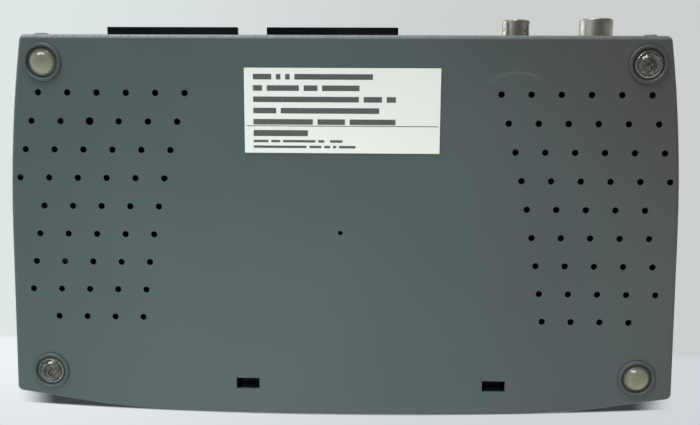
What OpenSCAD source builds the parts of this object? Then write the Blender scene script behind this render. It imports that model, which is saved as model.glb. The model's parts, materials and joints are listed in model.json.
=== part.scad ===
// Digital television converter box: a low two-part plastic case on four stick-on feet,
// with a bowed front, two 21-pin sockets, an aerial socket, a loop-through plug and a DC inlet.
// Millimetres, +Z up, front at -Y and rear at +Y. The origin is at the centre of the
// footprint, on the surface that the feet stand on. Heights named _h are above the underside.

/* [Case] */
// Width between the side lines, where they meet the front plane
case_w = 234; // [226:0.5:246]
// Depth from the front apex to the rear face
case_d = 133; // [128:0.2:150]
// Height from the underside to the top
case_h = 44; // [42:0.5:60]
// Thickness of the moulded walls
wall = 2.2; // [1.8:0.1:2.6]
// Thickness of the floor
floor_t = 2.2; // [1.8:0.1:3]
// Thickness of the roof
roof_t = 2.2; // [1.8:0.1:3]
// Height of the seam between the bottom and top covers
split_h = 12; // [11:0.5:13]
// Gap that shows as the seam line
seam = 0.3; // [0.2:0.05:0.5]
// Radius of the upright corners
corner_r = 2; // [1.4:0.1:3]
// Radius along the edge of the underside
edge_r = 1.2; // [0.6:0.1:1.4]
// Radius along the edge of the top
top_r = 4; // [2:0.5:6]

/* [Plan curves] */
// Radius of the middle stretch of the bowed front
bow_r = 2000; // [1200:50:3000]
// Width of the middle stretch
bow_w = 124; // [110:1:140]
// Radius of the bends that turn the front towards its corners
bend_r = 245; // [200:5:300]
// Angle of the straight ends of the front
end_slope = 8.9; // [8:0.1:11]
// Radius of the curved rear stretch of each side
side_r = 490; // [430:5:600]
// Taper of the straight front stretch of each side, in degrees
side_taper = 1.6; // [1:0.1:2.2]
// Depth behind the apex at which the sides start to curve
side_straight = 66.8; // [56:0.2:76]

/* [Vents] */
// Diameter of the vent holes at the outer face
vent_d = 2.2; // [1.6:0.1:2.6]
// Diameter of the one wider hole
wide_vent_d = 2.7; // [2:0.1:3]
// How much wider the vents are at the inner face
vent_flare = 1.4; // [0.4:0.1:1.8]
// Distance between neighbouring vents
vent_pitch = 10; // [9:0.1:10.2]
// Radius of the arc that the rows step along
vent_arc_r = 490; // [440:5:560]
// Lean of that arc at the middle row, in degrees
vent_lean = 12.1; // [10:0.1:13]
// Distance of the middle row's innermost vent from the side line
vent_side_d = 53.8; // [51:0.1:55]
// Distance of the middle row from the rear face
vent_row_d = 58.1; // [56:0.1:62]

/* [Feet and underside] */
// Height of the domed feet below the underside
foot_h = 3; // [2.2:0.1:4]
// Diameter of the skirt of a foot, at the underside
foot_d = 9.5; // [8.6:0.1:10]
// Diameter of the dome of a foot
foot_dome_d = 8; // [7:0.1:8.4]
// Diameter of the flat crown of a foot
crown_d = 2.4; // [1.6:0.1:3]
// Gap between a foot and the collar round it
collar_gap = 0.5; // [0.3:0.1:0.8]
// Width of the collar's rim
collar_t = 1.2; // [1:0.1:1.4]
// Height of the collar
collar_h = 0.7; // [0.4:0.1:1.2]
// Distance of the front feet from the side lines
front_foot_side_d = 13; // [12.4:0.1:14.4]
// Distance of the rear feet from the side lines
rear_foot_side_d = 15.7; // [15:0.1:17]
// Depth of the front feet behind the apex
front_foot_d = 15.3; // [14:0.1:17]
// Distance of the rear feet from the rear face
rear_foot_d = 9.3; // [8.2:0.1:12]
// Width of the slots under the fascia clips
slot_w = 8.2; // [7.4:0.1:9]
// Length of the slots, front to back
slot_l = 4; // [3.6:0.1:4.4]
// Depth of the slots' centres behind the apex
slot_d = 11.5; // [11:0.1:12]
// Diameter of the small hole under the middle pillar
pillar_hole_d = 1.6; // [1.2:0.1:2.2]
// Width of the blank label
label_w = 66; // [50:1:76]
// Length of the blank label, front to back
label_l = 28.4; // [20:0.2:32]
// Thickness of the label
label_t = 0.2; // [0.1:0.05:0.3]
// Distance of the label's centre from the rear face
label_d = 25.1; // [20:0.1:30]

/* [Rear sockets] */
// Height of the socket axes
socket_h = 21.2; // [20.5:0.1:23]
// Width of a 21-pin socket
scart_w = 46.3; // [46:0.1:48]
// Thickness of a 21-pin socket
scart_t = 14.5; // [14:0.1:15.4]
// How far the 21-pin sockets stand behind the rear face
scart_reach = 4; // [2:0.1:6]
// Outer diameter of the aerial socket
aerial_d = 11.5; // [11.4:0.1:12.4]
// Outer diameter of the loop-through plug
loop_d = 9.5; // [9.3:0.05:9.6]
// How far the aerial socket stands behind the rear face
coax_reach = 7.7; // [6.5:0.1:10]
// How much shorter the loop-through plug is
loop_short = 0.4; // [0:0.1:1]
// Bore of the aerial socket's centre contact
contact_bore_d = 2.4; // [2.2:0.05:2.6]
// Thickness of the rear panel
panel_t = 1.2; // [1:0.1:1.4]

/* [Front] */
// Height of the button and indicator centres
control_h = 25; // [24:0.2:26]
// Travel of the buttons
button_travel = 0.6; // [0.4:0.05:0.7]
// How far the buttons stand proud of the fascia
button_proud = 0.8; // [0.4:0.1:1]
// Diameter of the standby button
standby_d = 9; // [7:0.2:10]
// Width of a channel button
channel_w = 12; // [9:0.2:12.6]
// Height of a channel button
channel_t = 7; // [5.4:0.2:8]
// Width of the dark window
window_w = 56; // [40:1:64]
// Height of the dark window
window_t = 14; // [10:0.5:15]

/* [Hidden] */
$fn = 48;

case_grey = [0.36, 0.39, 0.39];
fascia_grey = [0.2, 0.21, 0.22];
board_green = [0.1, 0.33, 0.2];
nickel = [0.75, 0.73, 0.7];

// Clearances, and how far a cut runs past the face that it opens
fit = 0.1;
slide = 0.2;
through = 0.4;
over = 1;
// Thickness of the thin slices that a rounded form is drawn over
slice = 0.01;

// Plan of the case, worked out as arcs with centre, radius and the angles of their normals
front_y = -(case_d + coax_reach) / 2;
rear_y = front_y + case_d;
inner_r = 0.5;
bow_a = asin(bow_w / 2 / bow_r);
bow_c = [0, front_y + bow_r];
bend_c = bow_c + (bow_r - bend_r) * [sin(bow_a), -cos(bow_a)];
end_n = [sin(end_slope), -cos(end_slope)];
bend_end = bend_c + bend_r * end_n;
side_n = [cos(side_taper), sin(side_taper)];
side_t = [case_w / 2 - side_straight * tan(side_taper), front_y + side_straight];
side_c = side_t - side_r * side_n;

function side_at(y) = side_c.x + sqrt(pow(side_r, 2) - pow(y - side_c.y, 2));
function front_at(x) = let(a = abs(x))
    a <= bow_w / 2 ? bow_c.y - sqrt(pow(bow_r, 2) - a * a)
    : a <= bend_end.x ? bend_c.y - sqrt(pow(bend_r, 2) - pow(a - bend_c.x, 2))
    : bend_end.y + (a - bend_end.x) * tan(end_slope);
function arc_points(c, r, a0, a1, n, first = 0) =
    [for (k = [first:n]) let(a = a0 + (a1 - a0) * k / n) c + r * [cos(a), sin(a)]];
function rear_corner(e) =
    [side_c.x + sqrt(pow(side_r - e, 2) - pow(rear_y - e - side_c.y, 2)), rear_y - e];
function front_corner(e) = let(d1 = end_n * bend_end - e, d2 = side_n * side_t - e)
    let(det = end_n.x * side_n.y - end_n.y * side_n.x)
    [d1 * side_n.y - d2 * end_n.y, end_n.x * d2 - side_n.x * d1] / det;

// Closed outline of the case, set in from its face by i
function outline(i) = let(
    r = max(corner_r - i, inner_r),
    rear_corner_c = rear_corner(i + r),
    side_a = asin((rear_corner_c.y - side_c.y) / (side_r - i - r)),
    half = concat(
        arc_points(rear_corner_c, r, 90, side_a, 4),
        arc_points(side_c, side_r - i, side_a, side_taper, 8, 1),
        arc_points(front_corner(i + r), r, side_taper, end_slope - 90, 4),
        arc_points(bend_c, bend_r - i, end_slope - 90, bow_a - 90, 5),
        arc_points(bow_c, bow_r - i, bow_a - 90, -90, 3, 1)
    ),
    last = len(half) - 2
) concat(half, [for (k = [last:-1:0]) [-half[k].x, half[k].y]]);

// Rear corner columns, openings and the rear panel
column_w = 5.6;
column_l = 9;
column_gap = 0.4;
column_x1 = side_at(rear_y) - wall - column_gap;
column_x0 = column_x1 - column_w;
rear_screw_x = (column_x0 + column_x1) / 2;
rear_screw_h = 5.6;
rear_seat = 0.5;
edge_lap = 2;
open_w = 2 * (column_x0 - edge_lap - fit);
open_drop = 6;
open_top = case_h - open_drop;
panel_y1 = rear_y - wall - fit;
panel_y0 = panel_y1 - panel_t;
lip_t = 1;
lip_h = 1.6;

// Screws, all of one kind
screw_r = 1.45;
pilot_r = screw_r + fit / 2;
head_r = 2.8;
head_t = 1.2;
head_crown_r = 2;
recess_l = 2.8;
recess_w = 0.8;
recess_d = 0.7;
post_r = 3.5;

// Front fascia and its controls, placed from the ends of the front opening
fascia_in = 0.3;
fascia_t = 2.2;
fascia_back = fascia_in + fascia_t;
fascia_z0 = split_h + fit;
fascia_z1 = open_top - fit;
fascia_w = open_w - 2 * fit;
strip_t = 1;
strip_h = 2.4;
lens_rebate = 1.5;
standby_in = 10.5;
channel_in = 5;
channel_gap = 4;
led_gap = 14;
standby_x = -open_w / 2 + standby_in + standby_d / 2;
led_x = standby_x + led_gap;
channel_up_x = open_w / 2 - channel_in - channel_w / 2;
channel_down_x = channel_up_x - channel_w - channel_gap;
guide_wall = 1.4;
flange_w = 1.2;
flange_t = 1;
flange_gap = 0.4;
flange_reach = open_w / 2 - min(standby_in, channel_in) + flange_w;

// Keypad behind the fascia, as far back as the outermost button's flange needs
stem_l = 1.5;
stem_wall = 0.5;
plunger_r = 1.7;
plunger_out = 0.9;
plunger_l = 2;
switch_w = 6;
switch_t = 3.5;
collar_end_y = front_at(flange_reach) + fascia_back + flange_gap;
plunger_tip_y = collar_end_y + stem_l;
keypad_y = plunger_tip_y + plunger_out + switch_t;
keypad_t = 1.2;
keypad_in = 4;
keypad_w = open_w - 2 * keypad_in;
keypad_tall = 18;
keypad_screw_x = open_w / 4;
keypad_screw_l = 4;
led_r = 1.5;
led_l = 4.5;
led_rim = 0.4;
pipe_r = 1.4;
pipe_flange = 1;
ir_body = [6, 4, 8];
ir_lens_r = 2.4;

// Ribbon between the two boards, and its headers
header = [16, 5, 4];
cable_w = 12;
cable_t = 0.4;
cable_r = 3;
cable_x = -20;
header_in = 2;
keypad_header_drop = 5;
keypad_header_z = control_h - keypad_header_drop;

// Main board
board_lift = 5;
board_h = floor_t + board_lift;
board_t = 1.6;
board_top = board_h + board_t;
board_w = open_w;
board_gap = 1.2;
board_rear_gap = 0.5;
board_y0 = keypad_y + keypad_t + header.y + board_gap;
board_y1 = panel_y0 - board_rear_gap;
header_y = board_y0 + header_in;

// Sockets along the rear, from the right column and from the left end of the board
jack = [9, 14, 11];
jack_gap = 3.3;
jack_axis = 6.5;
jack_bore_r = 3.2;
jack_deep = 10;
jack_pin_r = 1;
jack_x = column_x0 - jack_gap - jack.x / 2;
scart_in = 16.8;
scart_gap = 10.3;
scart_l = 18;
scart_slant = 5;
scart_stub = 2;
scart_rim = 1.6;
scart_groove = 2;
scart_deep = 9;
scart_base_in = 2.5;
tv_x = column_x0 - scart_in - scart_w / 2;
vcr_x = tv_x - scart_w - scart_gap;
scart_y0 = panel_y0 - scart_l;
scart_y1 = rear_y + scart_reach;
blade_pitch = 3.81;
blade_stagger = 0.95;
blade_row = 1.9;
blade_back = 2;
blade_slot = [1.3, 2.6];
blade = [0.6, 2];
can_w = 49;
can_l = 32;
can_t = 22;
can_gap = 3.4;
sheet_t = 0.8;
lid_t = 0.5;
lid_skirt = 2;
lid_hole_d = 3;
lid_hole_pitch = [8, 12];
can_x0 = -board_w / 2 + fit + lid_t;
can_x1 = can_x0 + can_w;
can_y1 = panel_y0 - can_gap;
can_y0 = can_y1 - can_l;
can_top = board_top + can_t;

// Coaxial connectors, measured from the face of the can along their axes
aerial_in = 7.9;
coax_pitch = 28.5;
aerial_x = can_x0 + aerial_in;
loop_x = aerial_x + coax_pitch;
barrel_l = rear_y + coax_reach - can_y1;
loop_l = barrel_l - loop_short;
barrel_bevel = 0.4;
barrel_root = 0.3;
shoulder_r = 1.2;
shoulder_l = panel_y1 + slide - can_y1;
insulator_z0 = 2;
insulator_t = 3;
insulator_back = 0.6;
core_z0 = insulator_z0 + insulator_back;
aerial_wall = 1.05;
aerial_bore_r = aerial_d / 2 - aerial_wall;
contact_wall = 0.9;
contact_in = 1.5;
contact_floor = 2;
contact_r = contact_bore_d / 2 + contact_wall;
loop_wall = 0.7;
loop_bore_r = loop_d / 2 - loop_wall;
loop_pin_r = 1.17;
loop_pin_in = 0.8;
pin_tip_l = 1;
pin_tip_r = 0.5;
slit_w = 0.7;
slit_l = 7;

// Board posts stand under the screws: at the front corners, and in front of the sockets
post_in = 7;
post_front = 8;
post_gap = 1.5;
rear_post_y = scart_y0 - post_r - post_gap;
post_at = [
    [board_w / 2 - post_in, board_y0 + post_front],
    [-board_w / 2 + post_in, board_y0 + post_front],
    [tv_x - (scart_w + scart_gap) / 2, rear_post_y],
    [can_x1 + lid_t + head_r + post_gap, rear_post_y]
];
pillar_side = 0.45;
pillar_back = 66.2;
pillar_r = 3;
pillar_at = [pillar_side, front_y + pillar_back];

// Clips that hold the fascia down, over the slots
clip_at = [33.2, -54];
clip_w = 6;
clip_t = 1.6;
clip_in = 0.6;
clip_lift = 2;
hook_lift = 2.6;
clip_y = front_y + slot_d - clip_in;
catch_t = 1.4;
catch_lap = 0.8;
catch_tall = 5.8;
catch_top_h = floor_t + catch_tall;
catch_roof = 1.2;

// Parts on the main board
chip_x = 8;
chip_back = 48;
chip_at = [chip_x, board_y0 + chip_back];
chip_w = 28;
chip_t = 2.6;
sink_w = 26;
sink_base = 2;
sink_t = 12;
fin_t = 1.2;
fin_n = 7;
memory = [22, 10, 1.2];
memory_x = -22;
memory_back = 40;
memory_pitch = 16;
// Each capacitor: place from the board's right front corner, diameter, height
capacitor_at = [
    [-18, 26, 10, 16], [-31, 26, 10, 16], [-18, 39, 8, 12], [-31, 39, 8, 12], [-44, 26, 6.3, 11]
];
capacitor_foot = 1;
capacitor_groove = 0.5;
inductor_at = [[-18, 54], [-34, 54]];
inductor_r = 6;
inductor_t = 9;
bobbin_rim = 1.5;
bobbin_in = 1.2;
sink_plate = [30, 3, 22];
sink_in = 78;
sink_back = 22;
sink_at = [board_w / 2 - sink_in, board_y0 + sink_back];
plate_fin_n = 5;
plate_fin_l = 7;
regulator_size = [10, 4.4, 15];

// Moves what is measured from the underside up onto its feet
module lift() { translate([0, 0, foot_h]) children(); }
// A slice of the case outline, set in by i, from z0 to z1
module slab(i, z0, z1) { translate([0, 0, z0]) linear_extrude(z1 - z0) polygon(outline(i)); }
// A flat shape drawn as x across and z up, carried along Y from y0 to y1
module along_y(y0, y1) {
    translate([0, y1, 0]) rotate([90, 0, 0]) linear_extrude(y1 - y0) children();
}
module rod_y(r, y0, y1) { translate([0, y1, 0]) rotate([90, 0, 0]) cylinder(r = r, h = y1 - y0); }
module box(x0, x1, y0, y1, z0, z1) { translate([x0, y0, z0]) cube([x1 - x0, y1 - y0, z1 - z0]); }
module both() {
    children();
    mirror([1, 0, 0]) children();
}
module oblong(w, t) {
    if (w > t) square([w - t, t], center = true);
    for (s = [-1, 1]) translate([s * (w - t) / 2, 0]) circle(d = t);
}
// A strip that follows the bowed front, between two insets
module front_band(i0, i1, z0, z1, w) {
    intersection() {
        difference() {
            slab(i0, z0, z1);
            slab(i1, z0 - over, z1 + over);
        }
        box(-w / 2, w / 2, front_y - over, board_y0, z0, z1);
    }
}
// Pan-head screw along +Z, its head's seat at z = 0, with a cross recess
module screw(l) {
    difference() {
        union() {
            rotate_extrude() polygon([
                [0, 0], [head_r, 0], [head_r, head_t / 2], [head_crown_r, head_t], [0, head_t]
            ]);
            translate([0, 0, -l]) cylinder(r = screw_r, h = l + head_t / 2);
        }
        for (a = [0, 90]) rotate(a)
            box(-recess_l / 2, recess_l / 2, -recess_w / 2, recess_w / 2, head_t - recess_d, head_t + over);
    }
}

// Vents in each row, from the rear row to the front one
vent_counts = [6, 6, 6, 6, 5, 5, 5, 5, 4];
// The one wider vent: its row, and its place in the row from the inner end
wide_vent = [1, 3];

// The two fields of vents, cut through a wall from z = 0 up to t: rows step along an arc and run
// outwards at a fixed pitch
module vents(t, wide) {
    flare = vent_flare / t;
    middle_row = (len(vent_counts) - 1) / 2;
    step = vent_pitch / vent_arc_r * 180 / PI;
    middle = [case_w / 2 - vent_side_d, rear_y - vent_row_d];
    arc_c = middle - vent_arc_r * [cos(vent_lean), sin(vent_lean)];
    for (side = [-1, 1], row = [0:len(vent_counts) - 1]) {
        a = vent_lean + (middle_row - row) * step;
        for (k = [0:vent_counts[row] - 1]) {
            is_wide = wide && side == 1 && [row, k] == wide_vent;
            x = arc_c.x + vent_arc_r * cos(a) + k * vent_pitch;
            d = is_wide ? wide_vent_d : vent_d;
            translate([side * x, arc_c.y + vent_arc_r * sin(a), -over])
                cylinder(d1 = d - over * flare, d2 = d + (t + over) * flare, h = t + 2 * over, $fn = 24);
        }
    }
}

foot_at = [
    [-(case_w / 2 - front_foot_side_d), front_y + front_foot_d],
    [case_w / 2 - front_foot_side_d, front_y + front_foot_d],
    [-(case_w / 2 - rear_foot_side_d), rear_y - rear_foot_d],
    [case_w / 2 - rear_foot_side_d, rear_y - rear_foot_d]
];

// Rounded lower half of the case, solid
module base_form() {
    hull() {
        for (a = [0:30:60]) {
            z = edge_r * (1 - cos(a));
            slab(edge_r * (1 - sin(a)), z, z + slice);
        }
        slab(0, edge_r, split_h);
    }
}
// Rounded upper half of the case, solid
module roof_form() {
    hull() {
        for (a = [0:22.5:67.5]) {
            z = case_h - top_r * (1 - cos(a));
            slab(top_r * (1 - sin(a)), z - slice, z);
        }
        slab(0, split_h + seam, case_h - top_r);
    }
}
// Low collar round a foot, rounded at its rim
module foot_collar() {
    r0 = foot_d / 2 + collar_gap;
    r1 = r0 + collar_t;
    b = collar_t / 4;
    rotate_extrude() polygon([
        [r0, b], [r0, -collar_h + b], [r0 + b, -collar_h],
        [r1 - b, -collar_h], [r1, -collar_h + b], [r1, b]
    ]);
}
// Undercut catch for a fascia clip, over its slot
module clip_catch() {
    y0 = clip_y - catch_lap - catch_t;
    box(-clip_w / 2, clip_w / 2, y0, y0 + catch_t, floor_t - fit, catch_top_h);
    y1 = y0 + catch_t + catch_lap - slide;
    box(-clip_w / 2, clip_w / 2, y0, y1, catch_top_h - catch_roof, catch_top_h);
}
module bottom_cover() {
    color(case_grey) lift() difference() {
        union() {
            difference() {
                base_form();
                slab(wall, floor_t, split_h + over);
            }
            difference() {
                slab(wall - lip_t, split_h - over, split_h + lip_h);
                slab(wall, split_h - 2 * over, split_h + lip_h + over);
                box(-open_w / 2 - over, open_w / 2 + over, front_y - over, rear_y + over, 0, case_h);
            }
            for (p = foot_at) translate(p) foot_collar();
            translate([0, 0, floor_t - fit]) {
                for (p = post_at) translate(p) cylinder(r = post_r, h = board_lift + fit);
                translate(pillar_at) cylinder(r = pillar_r, h = board_lift + fit);
            }
            for (x = clip_at) translate([x, 0, 0]) clip_catch();
        }
        vents(floor_t, true);
        translate([pillar_at.x, pillar_at.y, -over]) cylinder(d = pillar_hole_d, h = board_h + 2 * over);
        for (p = post_at) translate([p.x, p.y, floor_t]) cylinder(r = pilot_r, h = board_lift + over);
        for (x = clip_at) translate([x, front_y + slot_d, 0])
            box(-slot_w / 2, slot_w / 2, -slot_l / 2, slot_l / 2, -over, floor_t + fit);
        both() translate([rear_screw_x, 0, rear_screw_h]) {
            rod_y(screw_r + slide, rear_y - wall - over, rear_y + over);
            rod_y(head_r + slide, rear_y - rear_seat, rear_y + over);
        }
    }
}
module top_cover() {
    color(case_grey) lift() difference() {
        union() {
            difference() {
                roof_form();
                slab(wall, split_h - over, case_h - roof_t);
            }
            both() box(
                column_x0, column_x1, panel_y1 - column_l, panel_y1, floor_t + fit, case_h - roof_t + fit
            );
        }
        difference() {
            slab(wall - lip_t - fit, split_h - over, split_h + lip_h + seam);
            slab(wall + fit / 2, split_h - 2 * over, split_h + lip_h + over);
        }
        box(-open_w / 2, open_w / 2, panel_y1 - fit, rear_y + over, split_h - over, open_top);
        box(-open_w / 2, open_w / 2, front_y - over, board_y0, split_h - over, open_top);
        translate([0, 0, case_h]) mirror([0, 0, 1]) vents(roof_t, false);
        both() translate([rear_screw_x, 0, rear_screw_h]) rod_y(pilot_r, panel_y1 - column_l + over, rear_y);
    }
}

// Shape of each control's hole, drawn as x across and z up
module control_shape(name, grow) {
    if (name == "standby") circle(d = standby_d + 2 * grow);
    else oblong(channel_w + 2 * grow, channel_t + 2 * grow);
}
CONTROLS = [["standby", standby_x], ["channel_down", channel_down_x], ["channel_up", channel_up_x]];

// Carries a flat shape drawn round a control's centre from y0 to y1
module at_control(x, y0, y1) { along_y(y0, y1) translate([x, control_h]) children(); }
module keypad_post(r, y0, y1) {
    for (s = [-1, 1]) translate([s * keypad_screw_x, 0, control_h]) rod_y(r, y0, y1);
}
// Clip that hangs from the fascia's lower strip and hooks under its catch
module fascia_clip() {
    w = clip_w / 2;
    box(-w, w, front_y + wall + strip_t + fit, clip_y + clip_t, fascia_z0 - strip_h, fascia_z0);
    box(-w, w, clip_y, clip_y + clip_t, floor_t + clip_lift, fascia_z0);
    box(
        -w, w, clip_y - catch_lap + slide, clip_y + fit,
        floor_t + hook_lift, catch_top_h - catch_roof - slide
    );
}
module front_fascia() {
    lens_w = window_w + 2 * (lens_rebate + slide);
    lens_t = window_t / 2 + lens_rebate + slide;
    color(fascia_grey) lift() difference() {
        union() {
            front_band(fascia_in, fascia_back, fascia_z0, fascia_z1, fascia_w);
            for (z = [fascia_z0 - strip_h, fascia_z1 - strip_h])
                front_band(wall + fit, wall + fit + strip_t, z, z + 2 * strip_h, fascia_w);
            intersection() {
                slab(fascia_in + over, fascia_z0, fascia_z1);
                union() {
                    for (c = CONTROLS) at_control(c[1], front_y, collar_end_y)
                        control_shape(c[0], slide + guide_wall);
                    keypad_post(post_r, front_y, keypad_y);
                }
            }
            for (x = clip_at) translate([x, 0, 0]) fascia_clip();
        }
        for (c = CONTROLS) at_control(c[1], front_y - over, keypad_y) control_shape(c[0], slide);
        at_control(0, front_y - over, keypad_y - over) square([window_w, window_t], center = true);
        front_band(fascia_back, fascia_back + 2 * over, control_h - lens_t, control_h + lens_t, lens_w);
        at_control(led_x, front_y - over, keypad_y) circle(r = pipe_r + slide);
        keypad_post(pilot_r, keypad_y - keypad_screw_l - over, keypad_y + over);
    }
}
module window_lens() {
    z0 = control_h - window_t / 2;
    z1 = control_h + window_t / 2;
    r = lens_rebate;
    color([0.05, 0.03, 0.05]) lift() {
        front_band(fascia_in + fit, fascia_back + fit, z0 + fit, z1 - fit, window_w - 2 * fit);
        front_band(fascia_back + fit / 2, fascia_back + over, z0 - r, z1 + r, window_w + 2 * r);
    }
}
// Outline of a 21-pin socket, one end of which slants in above a short upright stub
module scart_shape(w, t) {
    slant = scart_slant * t / scart_t;
    polygon([
        [-w / 2, -t / 2], [w / 2, -t / 2], [w / 2, t / 2],
        [slant - w / 2, t / 2], [-w / 2, scart_stub - t / 2]
    ]);
}
module rear_panel() {
    y0 = panel_y0 - over;
    y1 = panel_y1 + over;
    color(case_grey) lift() difference() {
        box(-column_x0 + fit, column_x0 - fit, panel_y0, panel_y1, floor_t, open_top + edge_lap);
        for (x = [tv_x, vcr_x]) along_y(y0, y1) translate([x, socket_h])
            scart_shape(scart_w + 2 * through, scart_t + 2 * through);
        translate([aerial_x, 0, socket_h]) rod_y(aerial_d / 2 + shoulder_r + slide, y0, y1);
        translate([loop_x, 0, socket_h]) rod_y(loop_d / 2 + shoulder_r + slide, y0, y1);
        translate([jack_x, 0, board_top + jack_axis]) rod_y(jack_bore_r + through, y0, y1);
    }
}
module rear_screws() {
    color(nickel) lift() both()
        translate([rear_screw_x, rear_y - rear_seat, rear_screw_h]) rotate([-90, 0, 0]) screw(column_l);
}
// Height of the sloping skirt of a foot
skirt_h = 0.6;
// Foot stuck to the underside: a dome with a small flat crown, in a sloping skirt
module foot(p) {
    r = foot_dome_d / 2;
    rise = foot_h - skirt_h;
    flat = crown_d / 2;
    dome_z = (pow(r, 2) - pow(flat, 2) + pow(rise, 2)) / (2 * rise);
    color([0.8, 0.8, 0.74]) lift() translate(p) {
        translate([0, 0, -skirt_h]) cylinder(d1 = foot_dome_d, d2 = foot_d, h = skirt_h);
        intersection() {
            translate([0, 0, -foot_h]) cylinder(r = r, h = foot_h);
            translate([0, 0, dome_z - foot_h]) sphere(r = norm([dome_z, flat]));
        }
    }
}
module blank_label() {
    color("white") lift() translate([0, rear_y - label_d, 0])
        box(-label_w / 2, label_w / 2, -label_l / 2, label_l / 2, -label_t, 0);
}
module main_board() {
    color(board_green) lift() difference() {
        box(-board_w / 2, board_w / 2, board_y0, board_y1, board_h, board_top);
        for (p = post_at) translate([p.x, p.y, board_h - over])
            cylinder(r = screw_r + slide, h = board_t + 2 * over);
    }
}
module board_screws() {
    color(nickel) lift() for (p = post_at)
        translate([p.x, p.y, board_top]) screw(board_t + board_lift - over);
}
// Places of the 20 contacts: two rows of ten, staggered
function blade_places() =
    [for (row = [-1, 1], k = [0:9]) [(k - 4.5) * blade_pitch + row * blade_stagger, row * blade_row]];
module scart_socket(x) {
    w = scart_w - 2 * scart_rim;
    t = scart_t - 2 * scart_rim;
    base_w = scart_w - 2 * scart_base_in;
    color([0.06, 0.06, 0.07]) lift() translate([x, 0, 0]) difference() {
        union() {
            along_y(scart_y0, scart_y1) translate([0, socket_h]) scart_shape(scart_w, scart_t);
            box(-base_w / 2, base_w / 2, scart_y0, panel_y0 - 2 * over, board_top, socket_h);
        }
        along_y(scart_y1 - scart_deep, scart_y1 + over) translate([0, socket_h]) difference() {
            scart_shape(w, t);
            scart_shape(w - 2 * scart_groove, t - 2 * scart_groove);
        }
        along_y(scart_y1 - scart_deep, scart_y1 + over) translate([0, socket_h])
            for (p = blade_places()) translate(p) square(blade_slot, center = true);
    }
}
module scart_contacts(x) {
    color([0.8, 0.68, 0.35]) lift() translate([x, 0, socket_h]) for (p = blade_places())
        along_y(scart_y1 - scart_deep, scart_y1 - blade_back) translate(p) square(blade, center = true);
}
// Open tray of folded sheet, with a wall between its two halves
module tuner_can() {
    s = sheet_t;
    middle = (aerial_x + loop_x) / 2;
    color(nickel) lift() {
        difference() {
            box(can_x0, can_x1, can_y0, can_y1, board_top, can_top);
            box(can_x0 + s, can_x1 - s, can_y0 + s, can_y1 - s, board_top + s, can_top + over);
        }
        box(middle - s / 2, middle + s / 2, can_y0 + fit, can_y1 - fit, board_top + fit, can_top - over);
    }
}
module tuner_lid() {
    g = fit / 2;
    o = g + lid_t;
    color(nickel) lift() difference() {
        box(can_x0 - o, can_x1 + o, can_y0 - o, can_y1 + o, can_top - lid_skirt, can_top + lid_t);
        box(can_x0 - g, can_x1 + g, can_y0 - g, can_y1 + g, can_top - lid_skirt - over, can_top);
        translate([(can_x0 + can_x1) / 2, (can_y0 + can_y1) / 2, can_top - over])
            for (i = [-2:2], j = [-0.5, 0.5]) translate([i * lid_hole_pitch.x, j * lid_hole_pitch.y])
                cylinder(d = lid_hole_d, h = 3 * over);
    }
}
// Stands children on the face of the can, their +Z along the axis of a connector at x
module on_can(x) { translate([x, can_y1, socket_h]) rotate([-90, 0, 0]) children(); }
// Turned barrel with a shoulder through the panel: radius across, distance from the can along
module barrel(x, d, bore_r, l) {
    r = d / 2;
    b = barrel_bevel;
    q = barrel_root;
    on_can(x) rotate_extrude() polygon([
        [0, 0], [r + shoulder_r, 0], [r + shoulder_r, shoulder_l], [r + q, shoulder_l], [r, shoulder_l + q],
        [r, l - b], [r - b, l], [bore_r, l], [bore_r, insulator_z0], [0, insulator_z0]
    ]);
}
module insulator(x, bore_r, pin_r) {
    color([0.9, 0.89, 0.85]) lift() on_can(x) translate([0, 0, insulator_z0]) difference() {
        cylinder(r = bore_r - fit / 2, h = insulator_t);
        translate([0, 0, insulator_back]) cylinder(r = pin_r + fit / 2, h = insulator_t);
    }
}
module aerial_shell() { color(nickel) lift() barrel(aerial_x, aerial_d, aerial_bore_r, barrel_l); }
module aerial_insulator() { insulator(aerial_x, aerial_bore_r, contact_r); }
module aerial_contact() {
    l = barrel_l - core_z0 - contact_in;
    color([0.8, 0.68, 0.35]) lift() on_can(aerial_x) translate([0, 0, core_z0]) difference() {
        cylinder(r = contact_r, h = l);
        translate([0, 0, contact_floor]) cylinder(d = contact_bore_d, h = l);
    }
}
module loop_sleeve() {
    color(nickel) lift() difference() {
        barrel(loop_x, loop_d, loop_bore_r, loop_l);
        on_can(loop_x) for (a = [45, 135]) rotate(a)
            box(-loop_d, loop_d, -slit_w / 2, slit_w / 2, loop_l - slit_l, loop_l + over);
    }
}
module loop_insulator() { insulator(loop_x, loop_bore_r, loop_pin_r); }
module loop_pin() {
    l = loop_l - core_z0 - loop_pin_in;
    color([0.8, 0.68, 0.35]) lift() on_can(loop_x) translate([0, 0, core_z0]) rotate_extrude()
        polygon([[0, 0], [loop_pin_r, 0], [loop_pin_r, l - pin_tip_l], [pin_tip_r, l], [0, l]]);
}
module dc_jack() {
    y1 = panel_y0 - fit;
    color([0.06, 0.06, 0.07]) lift() difference() {
        box(jack_x - jack.x / 2, jack_x + jack.x / 2, y1 - jack.y, y1, board_top, board_top + jack.z);
        translate([jack_x, 0, board_top + jack_axis]) rod_y(jack_bore_r, y1 - jack_deep, y1 + over);
    }
}
module dc_jack_pin() {
    y1 = panel_y0 - fit;
    color(nickel) lift() translate([jack_x, 0, board_top + jack_axis])
        rod_y(jack_pin_r, y1 - jack_deep, y1 - over);
}
module decoder_chip() {
    color([0.1, 0.1, 0.11]) lift() translate([chip_at.x, chip_at.y, board_top + chip_t / 2])
        cube([chip_w, chip_w, chip_t], center = true);
}
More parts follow.
